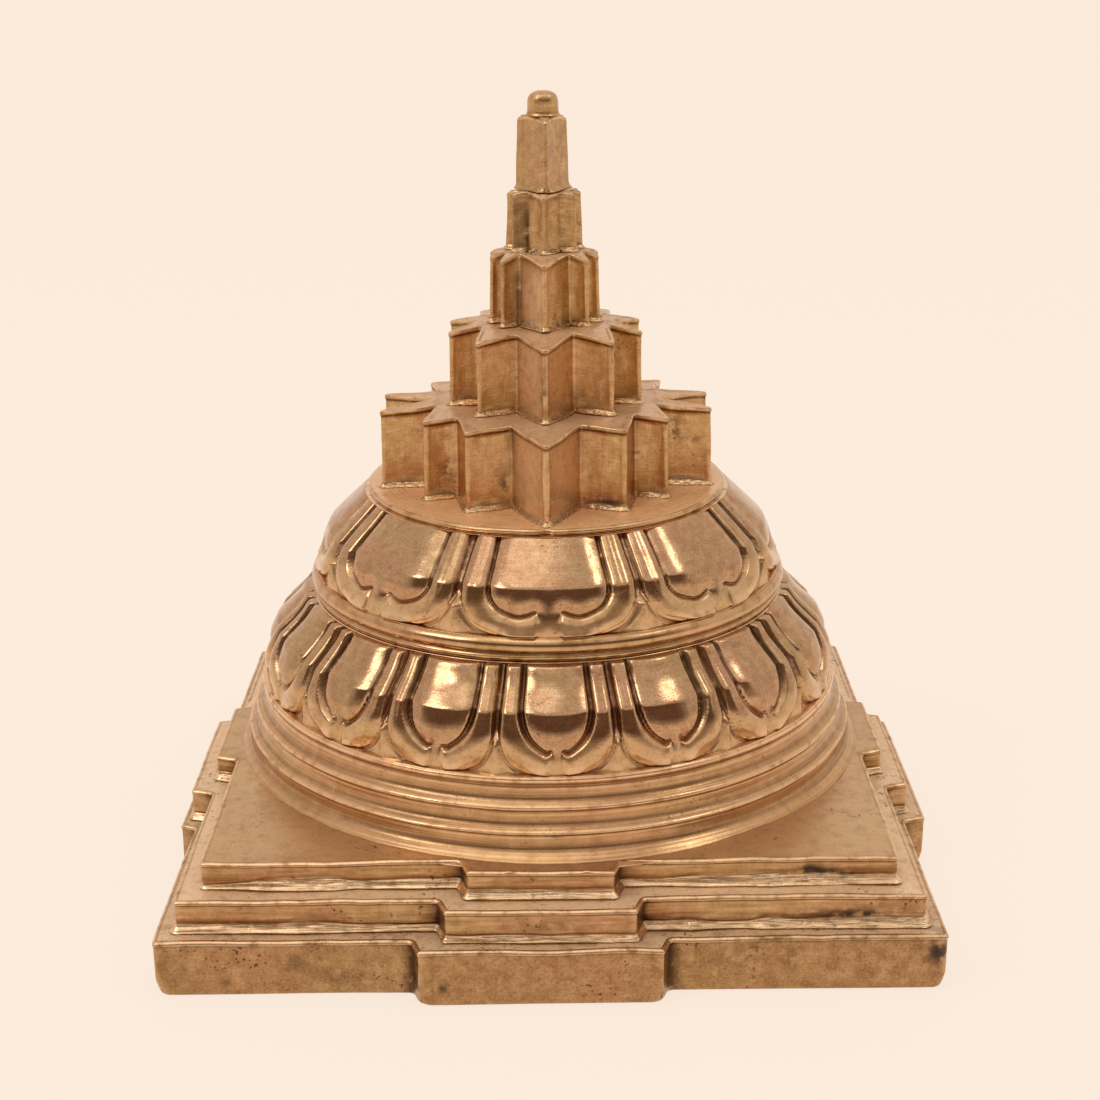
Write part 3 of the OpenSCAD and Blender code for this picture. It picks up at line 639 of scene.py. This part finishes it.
# Lotus: the relief of half a petal from distances to its lines, mirrored and repeated. Inside the groove is a
# pillow, outside it a rib that swells into a lobe at the foot, and past the border a channel round the leaf behind.
def lotusPiece(node, lotus, seat, seed):
    tall = topOf(node) - seat
    bowl = smoothCurve(lotus["bowl"], 12)
    length = np.append(0, np.cumsum(np.linalg.norm(np.diff(bowl, axis=0), axis=1)))
    along = length[-1] * np.linspace(0, 1, lotus["rows"]) ** 1.25  # closer rows at the foot, where lines turn
    radius, z = np.interp(along, length, bowl[:, 0]), np.interp(along, length, bowl[:, 1])
    v = z / tall
    u = np.linspace(0, 1, lotus["columns"] // 2 + 1)
    reach = np.pi / lotus["petals"] * radius
    x = u * reach[:, None]
    grid = np.stack([x, np.repeat(along[:, None], len(u), 1)], -1)
    lines = {}
    for key in ("groove", "tongue", "border"):
        line = smoothCurve(lotus[key], 8)
        over = line[:, 1] - np.clip(line[:, 1], 0, 1)
        lines[key] = np.stack([line[:, 0] * np.interp(line[:, 1], v, reach),
                               np.interp(line[:, 1], v, along) + over * tall], 1)
    lines["edge"] = np.concatenate([lines["groove"], lines["tongue"]])
    away = {key: lineDistance(grid, line) for key, line in lines.items()}
    inside = {}
    for key in ("edge", "border"):
        line = lines[key]
        within = insideOf(grid, np.concatenate([line, [[0, line[-1, 1]], [0, line[0, 1]]]]))
        inside[key] = np.where(within, away[key], -away[key])

    pillow = lotus["pillow"] * (1 - np.exp(-(away["groove"] / lotus["pillowReach"]) ** 1.5))
    width = away["groove"] + away["border"]
    across = away["groove"] / np.maximum(width, 0.01)
    toe = np.sqrt(1 - (1 - np.clip(along / lotus["toe"], 0, 1)) ** 2)[:, None]
    crest = np.clip(1 - (2 * across - 1) ** 2, 0, 1) ** 0.7
    flare = lotus["flare"] * np.clip(1 - along / lotus["flareTall"], 0, 1)[:, None] ** 3
    low = ease(v, 0.4, 0.3)[:, None]
    rib = crest * (lotus["ribHigh"] * (1 - np.exp(-width / lotus["ribReach"])) + flare)
    # a fine line along the rib above, and one inside the lobe's edge below
    rib = rib * toe - 0.08 * bell(across - 0.5, 0.1) * ease(v, 0.35, 0.55)[:, None]
    rib = rib - 0.12 * bell(inside["border"] - 0.6, 0.14) * ease(v, 0.4, 0.25)[:, None]
    soft = 0.12 + 0.25 * ease(v, 0.24, 0.15)[:, None]
    front = lotus["bed"] + rib + (pillow - rib) * ease(inside["edge"], -soft, soft)
    # the groove, finer towards its end, and the leaf behind
    fine = lotus["lineEnd"] + (lotus["lineTop"] - lotus["lineEnd"]) * ease(v, 0.28, 0.6)[:, None]
    cut = ease(away["groove"], fine + 0.12, 0.5 * fine)
    front = front - lotus["lineDeep"] * cut
    rise = lotus["leaf"] + (lotus["sliver"] - lotus["leaf"]) * ease(v, 0.3, 0.45)[:, None]
    leaf = away["border"] / np.maximum(away["border"] + (1 - u) * reach[:, None], 0.01)
    behind = rise * leaf ** 0.7 - lotus["gapDeep"] + (lotus["gapDeep"] - lotus["footGap"] + 0.6 * flare) * low
    behind = behind + (0.12 * bell(away["border"] - 0.45, 0.16) + lotus["leafLean"] * along[:, None]) * low
    onFront = ease(inside["border"], -0.12, 0.16)
    relief = behind + (front - behind) * onFront
    high = ease(v, 0.35, 0.75)[:, None]
    hollow = cut * (0.4 + 0.5 * high) + (1 - onFront) * (0.3 + 0.7 * high) * bell(away["border"], 0.55)
    # a bright line along the groove's outer edge, then a painted highlight over the lobes at the foot; the lobes
    # also take painted light as a lighter copper tone and a duller finish
    rim = 0.4 * bell(away["groove"] - fine - 0.18, 0.12) * ease(v, 0.2, 0.4)[:, None] * onFront
    outer = 1 - ease(inside["edge"], -soft, soft)
    rim = rim + 0.75 * bell(along - 0.7, 0.75)[:, None] * (0.35 + 0.65 * crest * onFront) * outer
    paintedLight = np.maximum(ease(v, 0.24, 0.12)[:, None], ease(v, 0.42, 0.3)[:, None] * outer) * lotus["paintedLight"]

    relief, hollow, rim, paintedLight = (allRound(part, lotus["petals"]) for part in (relief, hollow, rim, paintedLight))
    rings = latheRings(radius, z + seat, relief.shape[1], lotus["turn"])
    relief = relief + 0.08 * lumps(rings, 4.5, seed) + 0.02 * lumps(rings, 1.6, seed + 1)
    rings[..., :2] *= (1 + relief / radius[:, None])[..., None]
    ends = rings[[0, -1]] * (0.7, 0.7, 1)
    rings = np.concatenate([ends[:1], rings, ends[1:]])
    values = {"hollow": hollow, "rim": rim, "level": paintedLight}
    values = {key: np.pad(part, ((1, 1), (0, 0))) for key, part in values.items()}
    finishPiece(ringBody(node + "_carved", rings, values), node, polishedBronze)


lotusPiece("sixteen_petal_lotus", lowerLotus, seatHeight, 21)
seatHeight = topOf("sixteen_petal_lotus")

plateTop = topOf("bead_plate") - seatHeight
plate = {
    "count": 640, "wobble": 0.07, "tarnish": 7, "wear": 6,
    "profile": [(20, 0), (32.6, 0), (33.1, 0.12), (33.4, 0.32), (33.52, 0.58), (33.48, 0.84), (33.3, 1.04),
                (33.28, 1.18), (33.55, 1.4), (33.76, 1.8), (33.78, 2.2), (33.66, 2.6), (33.4, 2.95),
                (33.0, 3.2), (32.5, plateTop), (28, plateTop), (15, plateTop)],
}
turnedPiece("bead_plate", turnedBronze, plate, seatHeight, 6)
seatHeight += plateTop

lotusPiece("eight_petal_lotus", upperLotus, seatHeight, 31)
seatHeight = topOf("eight_petal_lotus")

discTop = topOf("round_platform") - seatHeight
disc = {
    "count": 480, "wobble": 0.05, "tarnish": 6, "wear": 7, "levelR": 24.75,
    "nick": (0.5, 24),  # in the rim at the front: its depth, and the radius where it starts
    "profile": [(12, 0), (24.8, 0), (25.0, 0.08), (25.15, 0.3), (25.2, 0.55), (25.05, 0.78), (24.7, discTop),
                (23.5, discTop), (20, discTop), (15, discTop), (8, discTop)],
}
turnedPiece("round_platform", turnedBronze, disc, seatHeight, 7)
seatHeight += discTop


# Pointed tiers: outlines as degrees from the front and radius for a quarter, mirrored to the back and left.
# Fall is how far a top drops from the seat's radius to the points, dish how far it sinks behind its edge, tip and
# notch are corner radii; the sheen and shade spots are painted light, given as stains are: a painted sheen where a
# face catches the light, and a painted dark reflection of the notch beside a face.
tierShape = {
    "tip": 0.5, "notch": 0.4, "edge": 0.32, "foot": 0.55, "draft": 0.15, "turn": 0, "torn": 1, "tuck": 0, "dull": 0,
    "paintedSheen": [], "paintedShades": [], "stains": [],
}
tiers = {
    "fourteen_point_tier": dict(
        tierShape, spacing=0.26, fall=0.6, seatR=15.4, hollowFace=0.22, lip=0.15, dish=0.2,
        quarter=[(0, 24), (17, 15.8), (32, 20.1), (50, 15.8), (56, 20.1), (73.5, 15.8), (78, 24), (90, 15.8)],
        paintedSheen=[(-2.3, 59, 2.1, 6, 0.8), (2.4, 59, 2.1, 6, 0.5)],
        stains=[(-13.4, 57.5, 0.9, 1.5, 0.7), (-5.7, 56.5, 0.7, 1.8, 0.7), (8.3, 54.5, 2.6, 0.6, 0.9),
                (12.2, 59.3, 0.8, 0.6, 0.6), (17.8, 61.5, 0.9, 1.8, 0.6), (20.5, 60, 1.5, 0.4, 0.4)],
    ),
    "outer_ten_point_tier": dict(
        tierShape, spacing=0.24, fall=1.1, seatR=8.9, hollowFace=0.2, lip=0.14, dish=0.2,
        quarter=[(0, 15.2), (24, 9.5), (40, 14.3), (67, 9.5), (71.5, 14.3), (90, 9.5)],
        paintedSheen=[(-2.0, 71, 1.8, 6, 0.8), (1.9, 71, 1.7, 6, 0.4)],
        stains=[(-0.2, 70, 0.4, 3, 0.6), (5, 67, 0.6, 1.2, 0.4)],
    ),
    "inner_ten_point_tier": dict(
        tierShape, spacing=0.2, fall=0.8, seatR=5.6, hollowFace=0.15, lip=0.07, dish=0.1,
        tip=0.4, notch=0.35, edge=0.36, foot=0.5, draft=0.2,
        quarter=[(0, 8.7), (38, 5.6), (47, 8.2), (69, 5.6), (75, 8.2), (90, 5.6)],
        paintedSheen=[(-1.7, 80.5, 1.4, 4.6, 0.8)],
        paintedShades=[(-4.7, 81, 1.3, 4.6, 0.34), (-3.5, 80, 0.35, 4.2, 0.25)],
        stains=[(2.8, 80, 0.6, 3, 0.3)],
    ),
    "eight_point_tier": dict(
        tierShape, spacing=0.2, fall=0.3, seatR=4.4, hollowFace=0.12, lip=0.04, dish=0.05,
        tip=0.3, notch=0.3, edge=0.45, foot=0.5, draft=0.2, dull=0.06,
        quarter=[(0, 5.4), (36, 3.7), (56, 5.4), (74, 3.7), (90, 5.4)],
        paintedShades=[(-3.2, 89.7, 1.1, 3.5, 0.45), (-2.2, 89, 0.3, 2.8, 0.2)],
    ),
    # a plain foot that draws in at the corners
    "triangle_tier": dict(
        tierShape, spacing=0.16, fall=0.45, seatR=2.3, hollowFace=0.05, lip=0.0, dish=0.0,
        tip=0.35, edge=0.6, foot=0.8, draft=0.32, dull=0.14, turn=5, torn=0, tuck=1.0,
        half=[(0, 4.57), (120, 4.57)],
    ),
}


# Whole outline from its quarter or right half, starting at the back
def tierCorners(tier):
    right = np.array(tier.get("half") or tier["quarter"], float)
    if "quarter" in tier:
        right = np.concatenate([right, right[right[:, 0] < 90][::-1] * (-1, 1) + (180, 0)])
    inside = right[(right[:, 0] > 0) & (right[:, 0] < 180)]
    points = np.concatenate([right, inside[::-1] * (-1, 1) + (360, 0)])
    points = np.roll(points, -len(right) + 1, 0)
    angle = np.radians(points[:, 0] + tier["turn"])
    return points[:, 1:] * np.stack([np.sin(angle), -np.cos(angle)], 1), points[:, 1]


# Tier body: the pointed outline carried up a section of torn foot, drafted wall and rounded edge,
# under a top that is flat at its seat and falls away to the points
def tierBody(node, tier, seat, seed):
    tall = topOf(node) - seat
    corners, far = tierCorners(tier)
    pointed = far > far.mean()
    radii = np.where(pointed, tier["tip"], tier["notch"]) if "quarter" in tier else np.full(3, tier["tip"])
    # a rounded point falls short by its radius over the sine of its half angle, so most of that is added first
    ways = [np.roll(corners, shift, 0) - corners for shift in (1, -1)]
    ways = [way / np.linalg.norm(way, axis=1)[:, None] for way in ways]
    short = radii * (1 / np.sin(np.arccos((ways[0] * ways[1]).sum(1)) / 2) - 1) * pointed
    corners = corners * (1 + 0.85 * short / far)[:, None]
    outline, normal, bend, middle = roundOutline(corners, radii, tier["spacing"], 7)
    count = len(outline)
    convex = soften(np.clip(bend, 0, 1), 5)
    concave = soften(np.clip(-bend, 0, 1), 9)
    edge, foot, draft = tier["edge"], tier["foot"], tier["draft"]
    slope = tier["fall"] / (far.max() - tier["seatR"])

    def fallAt(place):
        return slope * np.clip(np.linalg.norm(place, axis=-1) - tier["seatR"], 0, None)

    topAt = tall - fallAt(outline)
    # rows are closer at the foot and under the edge
    wall = np.concatenate([np.linspace(0, 0.15, 12)[:-1], np.linspace(0.15, 0.87, 14)[:-1],
                           np.linspace(0.87, 1, 12)])[:, None]
    rise = wall * (topAt - edge)
    flare = foot * np.clip(1 - rise / (1.3 * foot), 0, 1) ** 2 * (1 - 0.7 * concave)
    flare = flare * (1 - tier["tuck"] * convex)
    arc = np.linspace(0, np.pi / 2, 7)[1:, None]
    # faces are filed a little hollow, under a lip along the top
    hollowed = tier["hollowFace"] * middle ** 0.7 * ease(rise, 0.3, 1.6) * ease(topAt - rise, 0.5, 1.4)
    lip = tier["lip"] * ease(topAt - rise, 0.75, 0.42)
    offset = np.concatenate([np.full((1, count), -0.3), flare - hollowed + lip, tier["lip"] + 0 * arc * topAt])
    # draft and edge draw in towards the axis, so that no point folds over
    pull = np.concatenate([[[0]], draft * wall, draft + edge * (1 - np.cos(arc))])
    towards = outline / np.linalg.norm(outline, axis=1)[:, None]
    height = np.concatenate([np.zeros((1, count)), rise, topAt - edge + edge * np.sin(arc)])
    rings = outline + normal * offset[..., None] - towards * pull[..., None]
    rings = np.concatenate([rings, height[..., None]], -1)
    inward = np.array([0.985, 0.97, 0.95, 0.92, 0.88, 0.83, 0.77, 0.7, 0.6, 0.45, 0.25])
    level = (outline - towards * (edge + draft)) * inward[:, None, None]
    pastSeat = np.linalg.norm(level, axis=-1) - tier["seatR"]
    dish = tier["dish"] * ease(1 - inward, 0.01, 0.05)[:, None] * ease(pastSeat, 0, 2)
    rings = np.concatenate([rings, np.concatenate([level, (tall - fallAt(level) - dish)[..., None]], -1)])
    rest = np.zeros((len(arc) + len(inward), count))
    chisel = np.concatenate([rest[:1], ease(rise, 1.5 * foot, 0.6 * foot), rest]) * tier["torn"]
    rim = np.concatenate([np.zeros((1 + len(wall), count)), np.sin(2 * arc) ** 0.5 + 0 * topAt,
                          np.zeros((len(inward), count))])
    onWall = np.concatenate([[0], np.ones(len(wall)), np.linspace(1, 0, len(arc)), np.zeros(len(inward))])[:, None]
    # uneven filing on the walls, torn lines at the foot, and a top that rises and falls a little
    wave = 0.08 * lumps(rings * (1, 1, 0.5), 2.6, seed) + 0.03 * lumps(rings * (1, 1, 0.25), 0.8, seed + 1) - 0.07
    lines = 0.07 * lumps(rings * (0.4, 0.4, 1), 0.36, seed + 2) + 0.05 * lumps(rings, 0.45, seed + 3)
    wave = wave + chisel * lines
    rings[..., :2] += normal * (wave * onWall)[..., None]
    settle = 0.14 * (lumps(rings * (1, 1, 0), 3.0, seed + 4) - 0.7)
    rings[..., 2] += seat + settle * ease(rings[..., 2] / tall, 0.6, 1)
    glint = ease(lumps(rings * (1, 1, 0), 3.5, seed + 6), -0.5, 0.5) * ease(middle, 0, 0.3)
    # painted shade: a dark line under the lip
    under = np.concatenate([rest[:1], bell(topAt - rise - 0.7, 0.2), rest]) * np.clip(6 * tier["lip"], 0, 0.85)
    paintedSheen = stainsAndLightAt(rings, tier["paintedSheen"], 4) * onWall  # painted sheen: the face made lighter, as if catching the light
    paintedShade = stainsAndLightAt(rings, tier["paintedShades"], 6) * onWall  # painted shade: the dark reflection of the notch beside the face
    values = {
        "rim": rim * (0.55 + 0.45 * middle) + 0.04 * convex * onWall + 0.3 * paintedSheen,
        "chisel": chisel * (0.35 + 0.65 * glint),
        "hollow": (concave * onWall * (0.25 + 0.4 * lumps(rings * (1, 1, 0.5), 4, seed + 5)) + under + paintedShade
                   + tier["dull"]),
        "stain": stainsAndLightAt(rings, tier["stains"]) * onWall,
        # painted light: the tops and the sheen patches take the lighter copper tone and a duller finish
        "level": np.concatenate([np.zeros(len(wall) + len(arc)), np.ones(1 + len(inward))])[:, None] + paintedSheen,
    }
    return ringBody(node + "_dressed", rings, values)


for seed, (node, tier) in enumerate(tiers.items()):
    finishPiece(tierBody(node, tier, seatHeight, 40 + 10 * seed), node, tierBronze)
    seatHeight = topOf(node)

knobTop = topOf("bindu_knob") - seatHeight
knob = {
    "count": 96, "wobble": 0.04, "tarnish": 3, "wear": 2,
    "profile": [(0.8, -0.1), (2.2, -0.1), (2.26, 0.02), (2.12, 0.3), (2.08, 0.9), (2.08, 1.5), (1.98, 2.1),
                (1.66, 2.65), (1.1, 2.97), (0.5, knobTop - 0.02), (0.12, knobTop)],
}
turnedPiece("bindu_knob", tierBronze, knob, seatHeight, 8)


# Floor, light and camera
stage = {
    "cream": "#feeede", "floorHalf": 3.0, "evenShare": 0.88,
    "lamps": {  # place, size and level of each softbox
        "top_softbox": ((-0.1, -0.12, 0.78), 0.42, 0.75),
        "left_softbox": ((-0.5, -0.29, 0.66), 0.28, 3.6),
        "right_softbox": ((0.47, -0.1, 0.78), 0.17, 3.6),
    },
    "aim": (0, 0, 0.05),
    "around": "#f4ebe0", "aroundLevel": 0.86, "paperLevel": 0.98,
    "above": "#fff8f0", "back": "#fff2e4", "front": "#80695a",
    "zones": {  # parts of the tent: the axis, where each starts and where it is full
        "above": ("Z", 0.6, 0.78), "back": ("Y", 0.2, 0.6), "ahead": ("Y", -0.25, -0.5),
        "over": ("Z", -0.02, 0.28), "under": ("Z", 0.69, 0.58),
    },
}


# Paper that looks even to the camera and in the metal, but for the object's own soft shadow
def makeFloor():
    half = stage["floorHalf"]
    mesh = bpy.data.meshes.new("studio_floor")
    mesh.from_pydata([(-half, -half, 0), (half, -half, 0), (half, half, 0), (-half, half, 0)], [], [(0, 1, 2, 3)])
    floor = newObject("studio_floor", mesh)
    material = bpy.data.materials.new("matt paper, cream")
    tree = emptyTree(material)
    seen = addNode(tree, "LightPath", {}, "Is Camera Ray")
    for key in ("Is Glossy Ray", "Is Transmission Ray"):
        seen = addNode(tree, "Math", {0: seen, 1: addNode(tree, "LightPath", {}, key)}, operation="MAXIMUM")
    share = addNode(tree, "Math", {0: seen, 1: stage["evenShare"]}, operation="MULTIPLY")
    paper = addNode(tree, "BsdfDiffuse", {"Color": linear(stage["cream"])})
    glow = addNode(tree, "Emission", {"Color": linear(stage["cream"]), "Strength": 1.0})
    addNode(tree, "OutputMaterial", {0: addNode(tree, "MixShader", {0: share, 1: paper, 2: glow})})
    mesh.materials.append(material)


# Softboxes above and at both sides of a pale tent, which is brighter above and behind and open to a dark room
# in front. The camera sees it as the floor's paper.
def makeLight():
    for name, (spot, size, level) in stage["lamps"].items():
        lamp = bpy.data.lights.new(name, "AREA")
        lamp.shape = "SQUARE"
        lamp.size = size
        lamp.energy = level * math.pi * size ** 2
        holder = newObject(name, lamp)
        holder.location = spot
        holder.rotation_euler = (Vector(stage["aim"]) - holder.location).to_track_quat("-Z", "Y").to_euler()
    world = bpy.data.worlds.new("studio")
    bpy.context.scene.world = world
    tree = emptyTree(world)
    way = addNode(tree, "TexCoord", {}, "Generated")
    axis = {name: addNode(tree, "SeparateXYZ", {0: way}, name) for name in "YZ"}
    share = {}
    for key, (name, low, high) in stage["zones"].items():
        share[key] = addNode(tree, "MapRange", {0: axis[name], 1: low, 2: high, 3: 0.0, 4: 1.0})
    opening = addNode(tree, "Math", {0: share["over"], 1: share["under"]}, operation="MULTIPLY")
    share["front"] = addNode(tree, "Math", {0: opening, 1: share["ahead"]}, operation="MULTIPLY")
    tone = linear(stage["around"])
    for key in ("back", "above", "front"):
        tone = addNode(tree, "Mix", {0: share[key], 6: tone, 7: linear(stage[key])}, 2, data_type="RGBA")
    glow = addNode(tree, "Background", {0: tone, 1: stage["aroundLevel"]})
    paper = addNode(tree, "Background", {0: linear(stage["cream"]), 1: stage["paperLevel"]})
    seen = addNode(tree, "LightPath", {}, "Is Camera Ray")
    addNode(tree, "OutputWorld", {0: addNode(tree, "MixShader", {0: seen, 1: glow, 2: paper})})


# The photograph's viewpoint, worked out from the plinth's corners and the rings
view = {"focal": 63.32, "at": (0.0004, -0.26439, 0.13113), "pitch": 18.55, "roll": -0.55}


def makeCamera():
    lens = bpy.data.cameras.new("photo_view")
    lens.sensor_width = 36
    lens.lens = view["focal"]
    lens.clip_start = 0.01
    camera = newObject("photo_view", lens)
    camera.location = view["at"]
    pitch = Matrix.Rotation(math.radians(90 - view["pitch"]), 3, "X")
    roll = Matrix.Rotation(math.radians(view["roll"]), 3, "Z")
    camera.rotation_euler = (pitch @ roll).to_euler()
    bpy.context.scene.camera = camera


makeFloor()
makeLight()
makeCamera()
bpy.context.scene.view_settings.view_transform = "Standard"
print("stage ready")
